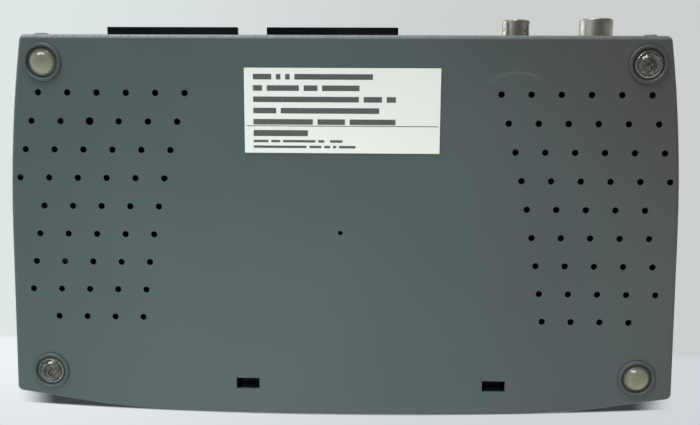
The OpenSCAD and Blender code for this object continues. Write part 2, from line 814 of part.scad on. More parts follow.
module decoder_heatsink() {
    z0 = board_top + chip_t;
    pitch = (sink_w - fin_t) / (fin_n - 1);
    color([0.6, 0.6, 0.62]) lift() translate([chip_at.x - sink_w / 2, chip_at.y - sink_w / 2, z0]) {
        cube([sink_w, sink_w, sink_base]);
        for (i = [0:fin_n - 1]) translate([i * pitch, 0, fit]) cube([fin_t, sink_w, sink_t - fit]);
    }
}
module memory_chips() {
    color([0.1, 0.1, 0.11]) lift() for (i = [0, 1])
        translate([memory_x, board_y0 + memory_back + i * memory_pitch, board_top + memory.z / 2])
            cube(memory, center = true);
}
// Electrolytic capacitor with a rolled groove near its foot
module capacitor(d, h) {
    r = d / 2;
    f = capacitor_foot;
    g = capacitor_groove;
    rotate_extrude() polygon([
        [0, 0], [r, 0], [r, f], [r - g, f + g], [r - g, f + 2 * g], [r, f + 3 * g],
        [r, h - g], [r - g, h], [0, h]
    ]);
}
module capacitors() {
    color([0.12, 0.14, 0.3]) lift() for (c = capacitor_at)
        translate([board_w / 2 + c[0], board_y0 + c[1], board_top]) capacitor(c[2], c[3]);
}
module power_inductors() {
    r = inductor_r;
    t = inductor_t;
    color([0.3, 0.18, 0.1]) lift() for (p = inductor_at)
        translate([board_w / 2 + p.x, board_y0 + p.y, board_top]) rotate_extrude() polygon([
            [0, 0], [r, 0], [r, bobbin_rim], [r - bobbin_in, bobbin_rim],
            [r - bobbin_in, t - bobbin_rim], [r, t - bobbin_rim], [r, t], [0, t]
        ]);
}
module regulator() {
    x = sink_at.x + (sink_plate.x - regulator_size.x) / 2;
    color([0.1, 0.1, 0.11]) lift()
        translate([x, sink_at.y - regulator_size.y, board_top]) cube(regulator_size);
}
module regulator_heatsink() {
    pitch = (sink_plate.x - fin_t) / (plate_fin_n - 1);
    color([0.6, 0.6, 0.62]) lift() translate([sink_at.x, sink_at.y, board_top]) {
        cube(sink_plate);
        for (i = [0:plate_fin_n - 1]) translate([i * pitch, fit, 0])
            cube([fin_t, sink_plate.y + plate_fin_l, sink_plate.z]);
    }
}
module keypad_board() {
    z0 = control_h - keypad_tall / 2;
    color(board_green) lift() difference() {
        box(-keypad_w / 2, keypad_w / 2, keypad_y, keypad_y + keypad_t, z0, z0 + keypad_tall);
        keypad_post(screw_r + slide, keypad_y - over, keypad_y + keypad_t + over);
    }
}
module keypad_screws() {
    color(nickel) lift() for (s = [-1, 1])
        translate([s * keypad_screw_x, keypad_y + keypad_t, control_h]) rotate([-90, 0, 0])
            screw(keypad_t + keypad_screw_l);
}
module key_switches() {
    bottom_y = plunger_tip_y + plunger_l + button_travel + slide;
    color([0.15, 0.15, 0.16]) lift() for (c = CONTROLS) difference() {
        at_control(c[1], keypad_y - switch_t, keypad_y) square(switch_w, center = true);
        at_control(c[1], keypad_y - switch_t - over, bottom_y) circle(r = plunger_r + fit);
    }
}
module plunger(x) {
    color([0.7, 0.68, 0.6]) lift()
        at_control(x, plunger_tip_y, plunger_tip_y + plunger_l) circle(r = plunger_r);
}
// Button cap: its face follows the bow of the front, and a flange behind the fascia keeps it in
module button(name, x) {
    flange_y = collar_end_y + fit / 2;
    color([0.55, 0.57, 0.58]) lift() {
        intersection() {
            at_control(x, front_y - over, flange_y + fit) control_shape(name, 0);
            slab(fascia_in - button_proud, 0, case_h);
        }
        at_control(x, flange_y, flange_y + flange_t) control_shape(name, flange_w);
        at_control(x, flange_y + fit, plunger_tip_y) circle(r = plunger_r + stem_wall);
    }
}
// Receiver block with a half-round lens on its front
module ir_receiver() {
    w = ir_body.x / 2;
    y1 = keypad_y - ir_body.y;
    z0 = control_h - ir_body.z / 2;
    color([0.08, 0.07, 0.08]) lift() {
        box(-w, w, y1, keypad_y, z0, z0 + ir_body.z);
        intersection() {
            translate([0, y1, z0]) cylinder(r = ir_lens_r, h = ir_body.z);
            box(-w, w, y1 - 2 * ir_lens_r, y1 + over, z0, z0 + ir_body.z);
        }
    }
}
module standby_led() {
    y1 = keypad_y - led_l;
    color([0.8, 0.15, 0.1]) lift() translate([led_x, 0, control_h]) {
        rod_y(led_r, y1 + led_r, keypad_y);
        rod_y(led_r + led_rim, keypad_y - over, keypad_y);
        translate([0, y1 + led_r, 0]) sphere(r = led_r);
    }
}
module light_pipe() {
    y1 = keypad_y - led_l - fit;
    color([0.9, 0.9, 0.9]) lift() {
        intersection() {
            translate([led_x, 0, control_h]) rod_y(pipe_r, front_y - over, y1);
            slab(fascia_in - fit, 0, case_h);
        }
        translate([led_x, 0, control_h]) rod_y(pipe_r + pipe_flange, y1 - over, y1);
    }
}
// Ribbon from the keypad header back and down into the main header
module flat_cable() {
    y0 = keypad_y + keypad_t + header.y;
    y1 = header_y + header.y / 2 + cable_t / 2;
    z1 = keypad_header_z + header.z / 2 + cable_t / 2;
    z0 = board_top + header.z;
    color([0.75, 0.75, 0.72]) lift() translate([cable_x - cable_w / 2, 0, 0]) {
        box(0, cable_w, y0, y1 - cable_r, z1 - cable_t, z1);
        box(0, cable_w, y1 - cable_t, y1, z0, z1 - cable_r);
        translate([0, y1 - cable_r, z1 - cable_r]) rotate([90, 0, 90]) linear_extrude(cable_w)
            intersection() {
                difference() {
                    circle(r = cable_r);
                    circle(r = cable_r - cable_t);
                }
                square(cable_r + over);
            }
    }
}
module main_header() {
    color([0.88, 0.87, 0.8]) lift() translate([cable_x - header.x / 2, header_y, board_top]) cube(header);
}
module keypad_header() {
    color([0.88, 0.87, 0.8]) lift() translate([cable_x - header.x / 2, keypad_y + keypad_t, keypad_header_z])
        cube(header);
}

bottom_cover();
top_cover();
front_fascia();
window_lens();
rear_panel();
rear_screws();
foot(foot_at[0]);  // foot_front_left
foot(foot_at[1]);  // foot_front_right
foot(foot_at[2]);  // foot_rear_left
foot(foot_at[3]);  // foot_rear_right
blank_label();
main_board();
board_screws();
scart_socket(tv_x);  // scart_socket_tv
scart_socket(vcr_x);  // scart_socket_vcr
scart_contacts(tv_x);  // scart_contacts_tv
scart_contacts(vcr_x);  // scart_contacts_vcr
tuner_can();
tuner_lid();
aerial_shell();
aerial_insulator();
aerial_contact();
loop_sleeve();
loop_insulator();
loop_pin();
dc_jack();
dc_jack_pin();
decoder_chip();
decoder_heatsink();
memory_chips();
capacitors();
power_inductors();
regulator();
regulator_heatsink();
keypad_board();
keypad_screws();
key_switches();
plunger(standby_x);  // standby_plunger
plunger(channel_down_x);  // channel_down_plunger
plunger(channel_up_x);  // channel_up_plunger
button("standby", standby_x);  // standby_button
button("channel_down", channel_down_x);  // channel_down_button
button("channel_up", channel_up_x);  // channel_up_button
ir_receiver();
standby_led();
light_pipe();
flat_cable();
main_header();
keypad_header();
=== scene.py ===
"""Looks of a digital television converter box: a low grey case of two covers on four stick-on feet.

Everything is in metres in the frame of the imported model: +Z up, front at -Y, rear at +Y. The
photograph looks up at the underside, so the main camera is below the box. Lengths in this script
are in millimetres, and MM turns them into metres.
"""

import json
import math

import bmesh
import bpy
import numpy as np
from mathutils import Matrix, Vector


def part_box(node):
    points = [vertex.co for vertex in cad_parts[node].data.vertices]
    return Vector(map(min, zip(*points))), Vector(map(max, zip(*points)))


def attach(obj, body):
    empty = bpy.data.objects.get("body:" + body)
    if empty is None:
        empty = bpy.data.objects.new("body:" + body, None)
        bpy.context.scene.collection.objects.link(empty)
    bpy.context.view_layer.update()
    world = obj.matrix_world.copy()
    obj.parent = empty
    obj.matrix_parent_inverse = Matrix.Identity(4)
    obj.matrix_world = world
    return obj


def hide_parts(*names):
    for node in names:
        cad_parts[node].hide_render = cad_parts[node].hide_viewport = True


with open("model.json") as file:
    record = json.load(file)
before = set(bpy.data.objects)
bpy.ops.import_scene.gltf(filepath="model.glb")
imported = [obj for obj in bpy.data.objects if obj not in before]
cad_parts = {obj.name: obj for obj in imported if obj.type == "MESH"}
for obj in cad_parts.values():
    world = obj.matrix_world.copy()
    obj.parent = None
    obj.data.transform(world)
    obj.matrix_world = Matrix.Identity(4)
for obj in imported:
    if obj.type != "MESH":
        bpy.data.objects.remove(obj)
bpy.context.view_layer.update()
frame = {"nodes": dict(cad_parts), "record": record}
nodes = frame["nodes"]
bodies = frame["record"]["behaviour"]["bodies"]
body_of = {node: body for body, members in bodies.items() for node in members}
slot_of = {node: nodes[node].material_slots[0].material.name for node in nodes}

MM = 0.001
UNDERSIDE_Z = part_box("blank_label")[1].z / MM
FRONT_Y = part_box("bottom_cover")[0].y / MM
REAR_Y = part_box("bottom_cover")[1].y / MM

# The feet, and which of them are still clear
CLEAR_FOOT = {
    "foot_front_left": False,
    "foot_front_right": True,
    "foot_rear_left": True,
    "foot_rear_right": False,
}


def corners(node):
    """Lowest and highest corner of a node's box."""
    low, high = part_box(node)
    return low / MM, high / MM


def middle(node):
    """Middle of a node's box in plan."""
    low, high = corners(node)
    return (low.x + high.x) / 2, (low.y + high.y) / 2


# Finishes


class Nodes:
    """A node tree, with one short method for each kind of node that is used more than once."""

    def __init__(self, tree):
        self.tree = tree

    def feed(self, target, value):
        """Links an output to a socket, or sets the socket to a number, a vector or a colour."""
        if isinstance(value, bpy.types.NodeSocket):
            self.tree.links.new(value, target)
        elif hasattr(value, "__len__") and len(target.default_value) == 4:
            target.default_value = (*value, 1.0)
        else:
            target.default_value = value

    def node(self, kind, inputs, output=0, **settings):
        """Makes a node, feeds its inputs and gives one of its outputs."""
        made = self.tree.nodes.new(kind)
        for key, value in settings.items():
            setattr(made, key, value)
        for key, value in inputs.items():
            self.feed(made.inputs[key], value)
        return made.outputs[output]

    def math(self, operation, a, b=0.0, c=0.0):
        """One step of arithmetic."""
        return self.node("ShaderNodeMath", {0: a, 1: b, 2: c}, operation=operation)

    def times(self, first, *others):
        """Product of several values."""
        for other in others:
            first = self.math("MULTIPLY", first, other)
        return first

    def ramp(self, value, low, high, to_low=0.0, to_high=1.0):
        """Carries value from low..high to to_low..to_high along a smooth step."""
        span = {"From Min": low, "From Max": high, "To Min": to_low, "To Max": to_high}
        kind = "ShaderNodeMapRange"
        return self.node(kind, {"Value": value, **span}, interpolation_type="SMOOTHSTEP")

    def band(self, value, at, width, full=1.0, core=0.0):
        """Full where value is within core of at, and nothing where it is further off than width."""
        off = self.math("ABSOLUTE", self.math("SUBTRACT", value, at))
        return self.ramp(off, core, width, full, 0.0)

    def mix(self, share, first, second):
        """Colour between first and second."""
        return self.node("ShaderNodeMix", {0: share, 6: first, 7: second}, 2, data_type="RGBA")

    def split(self, vector):
        """The x, y and z of a vector."""
        made = self.tree.nodes.new("ShaderNodeSeparateXYZ")
        self.feed(made.inputs[0], vector)
        return made.outputs


class Finish(Nodes):
    """A material in the making, round a Principled shader."""

    def __init__(self, name, **sockets):
        self.material = bpy.data.materials.new(name)
        self.material.use_nodes = True
        super().__init__(self.material.node_tree)
        self.shader = self.tree.nodes["Principled BSDF"]
        for socket, value in sockets.items():
            self.set(socket.replace("_", " "), value)

    def set(self, socket, value):
        """Sets or links a socket of the shader, named in full and in small letters."""
        names = {i.name.lower(): i for i in self.shader.inputs}
        self.feed(names[socket], value)

    def place(self, scale=(1, 1, 1), shift=(0, 0, 0), turn=0.0):
        """Object coordinates in millimetres, shifted, turned about Z and then scaled."""
        vector = "ShaderNodeVectorMath"
        own = self.node("ShaderNodeTexCoord", {}, "Object")
        at = self.node(vector, {0: own, 3: 1 / MM}, operation="SCALE")
        at = self.node(vector, {0: at, 1: shift}, operation="SUBTRACT")
        if turn:
            about = {"Vector": at, "Angle": turn}
            at = self.node("ShaderNodeVectorRotate", about, rotation_type="Z_AXIS")
        return self.node(vector, {0: at, 1: scale}, operation="MULTIPLY")

    def distance(self, x=0.0, y=0.0):
        """Distance in plan from an upright line at x, y."""
        flat = self.place((1, 1, 0), (x, y, 0))
        return self.node("ShaderNodeVectorMath", {0: flat}, "Value", operation="LENGTH")

    def noise(self, place, size, detail=2.0, rough=0.5, stretch=0.0):
        """Noise of features about size millimetres across, from 0 to 1."""
        look = {"Detail": detail, "Roughness": rough, "Distortion": stretch}
        return self.node("ShaderNodeTexNoise", {"Vector": place, "Scale": 1 / size, **look}, "Fac")

    def stain(self, share, colour):
        """Lays a colour over the base colour that is there, as far as share says."""
        tone = self.shader.inputs["Base Color"].links[0].from_socket
        self.set("base color", self.mix(share, tone, colour))

    def bump(self, height, depth):
        """Bends the surface's normal by a height of 0..1 over a depth in millimetres."""
        inputs = {"Height": height, "Distance": depth * MM, "Strength": 1.0}
        self.set("normal", self.node("ShaderNodeBump", inputs))


def tint(colour, factor):
    """A colour made lighter or darker."""
    return tuple(min(1.0, c * factor) for c in colour)


CASE_GREY = (0.062, 0.083, 0.083)
CORNER_SHADE_GREY = (0.062, 0.064, 0.062)
RUB_AND_HIGHLIGHT_GREY = (0.36, 0.38, 0.37)
FASCIA_GREY = (0.022, 0.024, 0.027)
BUTTON_GREY = (0.30, 0.31, 0.32)
DUST = (0.30, 0.31, 0.30)
STREAK = (0.34, 0.35, 0.35)
PAINTED_SHADE = (0.010, 0.012, 0.012)
SLOT_SHADE_BLACK = (0.0012, 0.0014, 0.0014)
SOCKET_BLACK = (0.0022, 0.003, 0.004)
NICKEL = (0.36, 0.345, 0.31)
BRASS = (0.58, 0.44, 0.21)
LABEL_WHITE = (0.67, 0.705, 0.665)
PRINT_BLACK = (0.045, 0.045, 0.05)


def moulded(name, colour, roughness, grain=0.28, depth=0.012):
    """Moulded plastic: spark-eroded grain, slow drift of tone, fine dust and faint rubbed streaks."""
    drift_size, speck_size, streak_size = 46.0, 0.9, 1.6
    f = Finish(name, specular_ior_level=0.36)
    place = f.place()
    fine = f.noise(place, grain, 3.0, 0.6)
    drift = f.noise(place, drift_size, 2.0)
    specks = f.noise(place, speck_size, 4.0, 0.65)
    streaks = f.noise(f.place((1.0, 0.07, 1.0), turn=0.5), streak_size, 3.0)
    f.set("base color", f.mix(drift, tint(colour, 0.93), tint(colour, 1.07)))
    f.stain(f.ramp(fine, 0.30, 0.75, 0.0, 0.30), tint(colour, 1.22))
    f.stain(f.ramp(specks, 0.70, 0.80, 0.0, 0.16), DUST)
    f.stain(f.ramp(streaks, 0.66, 0.80, 0.0, 0.05), STREAK)
    f.set("roughness", f.ramp(drift, 0.25, 0.75, roughness - 0.05, roughness + 0.06))
    f.bump(fine, depth)
    return f


def case_plastic():
    """Grey of the two covers, with marks of use and painted light.

    Painted shade makes the case darker and less green towards one rear corner. The underside has a
    pale rubbed arc, painted shade round the feet and deep in the clip slots, and a painted highlight
    along the lower rear edge.
    """
    corner_shade_from, corner_shade_to = 78.5714, 157.1429
    f = moulded("case_plastic", CASE_GREY, 0.50)
    x, y, z = f.split(f.place())
    under = f.math("LESS_THAN", z, UNDERSIDE_Z + 0.5)
    corner_shade = f.ramp(f.math("SUBTRACT", y, x), corner_shade_from, corner_shade_to, 0.0, 0.75)
    # rubbed holds the rubbed arc, which is wear, and the painted highlight on the lower rear edge.
    rubbed = f.math("MAXIMUM", f.times(rubbed_arc(f), under), rear_edge_highlight(f))
    broken = f.ramp(f.noise(f.place(), 1.2, 3.0), 0.30, 0.62)
    # Painted shade: darker and less green towards one rear corner.
    f.stain(corner_shade, CORNER_SHADE_GREY)
    f.stain(f.times(rubbed, f.ramp(broken, 0.0, 1.0, 0.6, 1.0)), RUB_AND_HIGHLIGHT_GREY)
    # Painted shade in the groove round each foot, on its collar and round it.
    f.stain(f.times(painted_foot_shade(f), under), PAINTED_SHADE)
    # Painted shade deep in the clip slots, on the catches and clips there.
    f.stain(painted_slot_shade(f), SLOT_SHADE_BLACK)
    return f.material


def rubbed_arc(f):
    """A faint line along the rear part of a circle."""
    centre_x, centre_y, radius, width, strength = -58.4, 36.34, 14.2, 0.6, 0.09
    line = f.band(f.distance(centre_x, centre_y), radius, width)
    x, y, _ = f.split(f.place(shift=(centre_x, centre_y, 0.0)))
    rear_part = f.ramp(f.math("MULTIPLY_ADD", x, 0.1, y), 10.8, 12.4)
    return f.times(line, rear_part, strength)


def rear_edge_highlight(f):
    """A painted highlight along the lower rear edge, stronger towards one end."""
    x, y, z = f.split(f.place())
    rear = f.ramp(y, REAR_Y - 1.6, REAR_Y - 0.9)
    low = f.ramp(z, UNDERSIDE_Z + 0.3, UNDERSIDE_Z + 0.9, 1.0, 0.0)
    return f.times(rear, low, f.ramp(x, -118.4, 51.6, 0.14, 0.42))


def from_foot(f):
    """Distance in plan from the middle of the nearest foot."""
    first, *others = (f.distance(*middle(node)) for node in CLEAR_FOOT)
    for other in others:
        first = f.math("MINIMUM", first, other)
    return first


def painted_foot_shade(f):
    """Painted shade in the groove round each foot, thin on its collar and in a line round the collar.
    """
    groove, rim, line = 5.25, 6.5, 0.4
    near = from_foot(f)
    inside = f.ramp(near, groove - 0.15, groove + 0.25, 0.65, 0.13)
    inside = f.times(inside, f.ramp(near, rim, rim + line, 1.0, 0.0))
    return f.math("MAXIMUM", inside, f.band(near, rim, line, 0.35))


def painted_slot_shade(f):
    """Painted shade deep in the two clip slots, on the catches and clips there. The outer edges are
    left as they are.
    """
    slots_x, slots_y, reach_x, reach_y = (33.2, -54.0), -58.85, 5.0, 3.0
    edge, deep, top = 0.5, 2.1, 9.0
    x, y, z = f.split(f.place(shift=(0.0, slots_y, UNDERSIDE_Z)))
    aside = (f.math("ABSOLUTE", f.math("SUBTRACT", x, at)) for at in slots_x)
    inside = f.times(
        f.math("LESS_THAN", f.math("MINIMUM", *aside), reach_x),
        f.math("LESS_THAN", f.math("ABSOLUTE", y), reach_y),
        f.math("LESS_THAN", z, top),
    )
    return f.times(inside, f.ramp(z, edge, deep, 0.0, 0.97))


def fascia_plastic():
    """Dark grey of the fascia and of its clips, which hang over the slots of the underside."""
    f = moulded("fascia_plastic", FASCIA_GREY, 0.40, grain=0.35, depth=0.008)
    # Painted shade on the clips deep in the slots.
    f.stain(painted_slot_shade(f), SLOT_SHADE_BLACK)
    return f.material


def window_plastic():
    """Dark red-violet acrylic, polished, with a little haze and hairline wipes."""
    f = Finish("window_plastic", specular_ior_level=0.55, coat_weight=0.6, coat_roughness=0.03)
    haze = f.noise(f.place(), 18.0, 3.0)
    wipes = f.noise(f.place((0.05, 1.0, 1.0)), 0.7, 2.0)
    f.set("base color", f.mix(haze, (0.006, 0.004, 0.008), (0.014, 0.008, 0.014)))
    hazy, wiped = f.ramp(haze, 0.3, 0.7, 0.06, 0.12), f.ramp(wipes, 0.60, 0.75, 0.0, 0.08)
    f.set("roughness", f.math("ADD", hazy, wiped))
    return f.material


def socket_black():
    """Black glass-filled plastic of the sockets, slightly mottled where it flowed into the mould."""
    f = Finish("socket_black", specular_ior_level=0.09)
    flow = f.noise(f.place((0.4, 1.0, 1.0)), 5.0, 4.0)
    f.set("base color", f.mix(flow, SOCKET_BLACK, tint(SOCKET_BLACK, 2.2)))
    f.set("roughness", f.ramp(flow, 0.3, 0.7, 0.32, 0.44))
    f.bump(f.noise(f.place(), 0.22, 2.0), 0.006)
    return f.material


def plated(name, colour, roughness, tarnish, patch=3.0):
    """Plated metal: turning marks round the part, darker spots and patches of tarnish."""
    f = Finish(name, metallic=1.0)
    place = f.place()
    patches = f.ramp(f.noise(place, patch, 3.0, 0.55), 0.42, 0.72)
    spots = f.ramp(f.noise(place, 0.6, 3.0), 0.64, 0.76, 0.0, 0.3)
    marks = f.noise(f.place((0.15, 4.0, 0.15)), 0.6, 2.0)
    f.set("base color", f.mix(f.times(patches, 0.6), colour, tarnish))
    f.stain(spots, tint(tarnish, 0.5))
    worn = f.ramp(patches, 0.0, 1.0, roughness, roughness + 0.22)
    f.set("roughness", f.math("ADD", worn, f.ramp(marks, 0.3, 0.7, -0.04, 0.05)))
    f.bump(marks, 0.006)
    return f.material


def label_stock():
    """Matt white label with a ruled line and rows of plain bars in place of words."""
    margin, top, rule_drop, rule_half, rule_inset = 3.0, 2.0, 17.3, 0.14, 0.6
    f = Finish("label_stock", specular_ior_level=0.35)
    high = corners("blank_label")[1]
    x, y, _ = f.split(f.place())
    across = f.math("SUBTRACT", high.x - margin, x)
    down = f.math("SUBTRACT", high.y - top, y)

    def chance(key):
        """A number from 0 to 1 that belongs to a key."""
        return f.node("ShaderNodeTexWhiteNoise", {"W": key}, noise_dimensions="1D")

    def between(value, start, end):
        """1 where a value lies between start and end, and 0 elsewhere."""
        return f.times(f.math("GREATER_THAN", value, start), f.math("LESS_THAN", value, end))

    def bars(drop, end, pitch, thick, reach, cell, seed):
        """Rows of bars from drop to end: a row has its own length, and some of its cells are gaps."""
        at = f.math("DIVIDE", f.math("SUBTRACT", down, drop), pitch)
        row = f.math("FLOOR", at)
        line = f.math("LESS_THAN", f.math("FRACT", at), thick)
        column = f.math("FLOOR", f.math("DIVIDE", across, cell))
        key = f.math("MULTIPLY_ADD", row, 37.0, f.math("ADD", column, seed))
        filled = f.math("LESS_THAN", chance(key), 0.80)
        drawn = chance(f.math("ADD", row, seed))
        length = f.math("MULTIPLY_ADD", drawn, 0.35 * reach, 0.65 * reach)
        return f.times(line, filled, between(across, 0.0, length), between(down, drop, end))

    rule = f.math("COMPARE", down, rule_drop, rule_half)
    ink = f.times(rule, f.math("COMPARE", x, 0.0, high.x - rule_inset))
    for rows in (
        bars(drop=0.0, end=17.0, pitch=3.75, thick=0.50, reach=52.0, cell=1.55, seed=11.0),
        bars(drop=18.7, end=21.7, pitch=3.0, thick=0.68, reach=22.0, cell=5.0, seed=31.0),
        bars(drop=22.0, end=25.7, pitch=1.9, thick=0.45, reach=38.0, cell=1.0, seed=53.0),
    ):
        ink = f.math("MAXIMUM", ink, rows)
    patchy = f.times(ink, f.ramp(f.noise(f.place(), 0.35, 2.0), 0.2, 0.5, 0.72, 0.95))
    f.set("base color", f.mix(f.noise(f.place(), 9.0, 3.0), tint(LABEL_WHITE, 0.95), LABEL_WHITE))
    f.stain(patchy, PRINT_BLACK)
    f.set("roughness", f.ramp(ink, 0.0, 1.0, 0.52, 0.36))
    f.bump(f.noise(f.place(), 0.5, 3.0), 0.008)
    return f.material


def foot_gel(name, clear, size, dull, bright, hazy_from, smooth, rough):
    """Gel of a foot, more or less clear, with haze inside it of a given size."""
    f = Finish(name, ior=1.47, transmission_weight=clear, coat_weight=0.2, coat_roughness=0.08)
    haze = f.noise(f.place(), size, 3.0)
    f.set("base color", f.mix(haze, dull, bright))
    f.set("roughness", f.ramp(haze, hazy_from, 0.7, smooth, rough))
    return f.material


def foot_milky():
    """Aged clear gel of a foot, gone milky and faintly yellow-green."""
    dull, bright = (0.78, 0.80, 0.66), (0.88, 0.90, 0.77)
    return foot_gel("foot_milky", 0.93, 2.6, dull, bright, 0.3, 0.05, 0.14)


def foot_clear():
    """Clear gel of a foot, with a little haze inside."""
    dull, bright = (0.86, 0.87, 0.80), (0.96, 0.96, 0.92)
    return foot_gel("foot_clear", 1.0, 1.4, dull, bright, 0.35, 0.04, 0.14)


def foot_cushion():
    """Cream foam pad that shows through a milky foot, paler towards the front side of each foot."""
    pale, shaded_cream, reach = (0.172, 0.183, 0.125), (0.058, 0.062, 0.045), 3.4
    f = Finish("foot_cushion", specular_ior_level=0.3, roughness=0.7)
    place = f.place()
    front, rear = (middle(node)[1] for node in ("foot_front_left", "foot_rear_right"))
    half = (rear - front) / 2
    from_middle = f.math("WRAP", f.math("SUBTRACT", f.split(place)[1], front), half, -half)
    mottle = f.ramp(f.noise(place, 3.2, 3.0), 0.3, 0.7, -0.2, 0.2)
    # Painted light: the pad is paler towards the front of each foot and darker towards the rear.
    share = f.math("ADD", f.ramp(from_middle, -reach, reach), mottle)
    f.set("base color", f.mix(share, pale, shaded_cream))
    f.bump(f.noise(place, 0.3, 2.0), 0.03)
    return f.material


def foot_adhesive():
    """Old adhesive under a clear foot: dark where it still wets the case, silvery where it let go.

    Air has crept in at random places, and less of the silvery share shows towards the rear. A pale
    ring near the rim is a painted highlight.
    """
    wet, crept_in = (0.014, 0.016, 0.013), (0.090, 0.096, 0.081)
    fleck, ring = (0.28, 0.28, 0.24), (0.34, 0.34, 0.29)
    ring_r, ring_core, ring_half = 4.2, 0.1, 0.4
    f = Finish("foot_adhesive", specular_ior_level=0.6, roughness=0.38)
    place = f.place()
    crept = f.ramp(f.noise(place, 1.1, 4.0, 0.7, 0.6), 0.46, 0.58)
    # The silvery share is smaller towards the rear.
    crept = f.times(crept, f.ramp(f.split(place)[1], -20.0, 20.0, 1.0, 0.72))
    flecks = f.ramp(f.noise(place, 0.35, 3.0, 0.7), 0.55, 0.70)
    rim_highlight = f.band(from_foot(f), ring_r, ring_half, 0.8, ring_core)
    f.set("base color", f.mix(crept, wet, crept_in))
    f.stain(f.times(flecks, 0.35), fleck)
    # Painted highlight: a pale ring near the rim of the gel, broken up by the flecks.
    f.stain(f.times(rim_highlight, f.ramp(flecks, 0.0, 1.0, 0.6, 1.0)), ring)
    f.bump(crept, 0.08)
    return f.material


def board_laminate():
    """Green board: solder mask over fine parallel tracks."""
    mask_dark, mask_light, track = (0.008, 0.055, 0.024), (0.014, 0.085, 0.036), (0.03, 0.14, 0.05)
    black, white = (0.0, 0.0, 0.0), (1.0, 1.0, 1.0)
    f = Finish("board_laminate", specular_ior_level=0.5)
    place = f.place()
    lanes = f.node("ShaderNodeTexBrick", {
        "Vector": place, "Color1": black, "Color2": black, "Mortar": white,
        "Scale": 0.25, "Mortar Size": 0.03, "Brick Width": 1.7, "Row Height": 0.4,
    })
    masked = f.mix(f.noise(place, 14.0), mask_dark, mask_light)
    f.set("base color", f.mix(lanes, masked, track))
    f.set("roughness", f.ramp(f.noise(place, 3.0), 0.3, 0.7, 0.28, 0.42))
    f.bump(lanes, 0.03)
    return f.material


def resin(name, colour, roughness, size=0.5):
    """Cast or pressed resin with a fine mottle."""
    f = Finish(name, specular_ior_level=0.45)
    mottle = f.noise(f.place(), size, 4.0, 0.6)
    f.set("base color", f.mix(mottle, tint(colour, 0.82), tint(colour, 1.18)))
    f.set("roughness", f.ramp(mottle, 0.3, 0.7, roughness - 0.05, roughness + 0.08))
    f.bump(mottle, 0.006)
    return f.material


def banded(name, colour, band, axis, pitch, roughness=0.4, metallic=0.0):
    """Fine parallel bands along an axis: a wound coil, a ribbon's wires or a drawn metal's lines."""
    f = Finish(name, metallic=metallic)
    wave = f.node("ShaderNodeTexWave", {
        "Vector": f.place(), "Scale": 1 / pitch,
        "Distortion": 0.6, "Detail": 2.0, "Detail Scale": 2.0,
    }, "Fac", bands_direction=axis)
    f.set("base color", f.mix(wave, colour, band))
    f.set("roughness", f.ramp(wave, 0.0, 1.0, roughness - 0.06, roughness + 0.10))
    f.bump(wave, 0.04)
    return f.material


def tinted_clear(name, colour, roughness, clear):
    """Tinted resin of the indicator and its light pipe, more or less clear."""
    f = Finish(name, ior=1.49, transmission_weight=clear)
    swirl = f.noise(f.place(), 1.8, 3.0)
    f.set("base color", f.mix(swirl, tint(colour, 0.9), colour))
    f.set("roughness", f.ramp(swirl, 0.3, 0.7, roughness, roughness + 0.08))
    return f.material


FINISHES = {
    "case_plastic": case_plastic(),
    "fascia_plastic": fascia_plastic(),
    "window_plastic": window_plastic(),
    "button_plastic": moulded("button_plastic", BUTTON_GREY, 0.36, 0.30, 0.004).material,
    "steel": plated("steel", (0.36, 0.36, 0.35), 0.34, (0.16, 0.15, 0.14), 2.0),
    "clear_foot": foot_milky(),
    "label_stock": label_stock(),
    "board_laminate": board_laminate(),
    "socket_black": socket_black(),
    "contact_metal": plated("contact_metal", BRASS, 0.32, (0.36, 0.26, 0.12), 1.6),
    "nickel": plated("nickel", NICKEL, 0.34, (0.16, 0.135, 0.095), 5.0),
    "tinplate": plated("tinplate", (0.58, 0.58, 0.57), 0.34, (0.36, 0.36, 0.35), 9.0),
    "white_plastic": resin("white_plastic", (0.72, 0.71, 0.66), 0.42),
    "chip_resin": resin("chip_resin", (0.012, 0.012, 0.014), 0.55, 0.3),
    "heatsink_aluminium": banded(
        "heatsink_aluminium", (0.52, 0.52, 0.54), (0.62, 0.62, 0.63), "X", 1.1, 0.34, 1.0
    ),
    "capacitor_sleeve": resin("capacitor_sleeve", (0.015, 0.02, 0.07), 0.30, 2.0),
    "ferrite": banded("ferrite", (0.22, 0.09, 0.035), (0.10, 0.04, 0.02), "Z", 0.9),
    "plunger_plastic": resin("plunger_plastic", (0.55, 0.52, 0.44), 0.40),
    "led_resin": tinted_clear("led_resin", (0.75, 0.10, 0.06), 0.10, 0.7),
    "pipe_acrylic": tinted_clear("pipe_acrylic", (0.62, 0.64, 0.64), 0.10, 0.15),
    "cable_jacket": banded("cable_jacket", (0.52, 0.52, 0.50), (0.36, 0.36, 0.35), "X", 1.27),
}
# Nodes whose finish isn't that of their slot
OWN_FINISH = {
    "rear_screws": plated("dark_zinc", (0.17, 0.18, 0.18), 0.46, (0.10, 0.10, 0.10), 1.5),
    "loop_sleeve": plated("worn_nickel", NICKEL, 0.32, (0.05, 0.047, 0.036), 1.3),
}
CLEAR_GEL, ADHESIVE, CUSHION = foot_clear(), foot_adhesive(), foot_cushion()
MARK_PRINT = resin("mark_print", (0.03, 0.032, 0.036), 0.45)
for node, item in nodes.items():
    item.material_slots[0].material = OWN_FINISH.get(node, FINISHES[slot_of[node]])


# Pieces


def placed(name, data):
    """A new object in the scene, at the origin."""
    made = bpy.data.objects.new(name, data)
    bpy.context.scene.collection.objects.link(made)
    return made


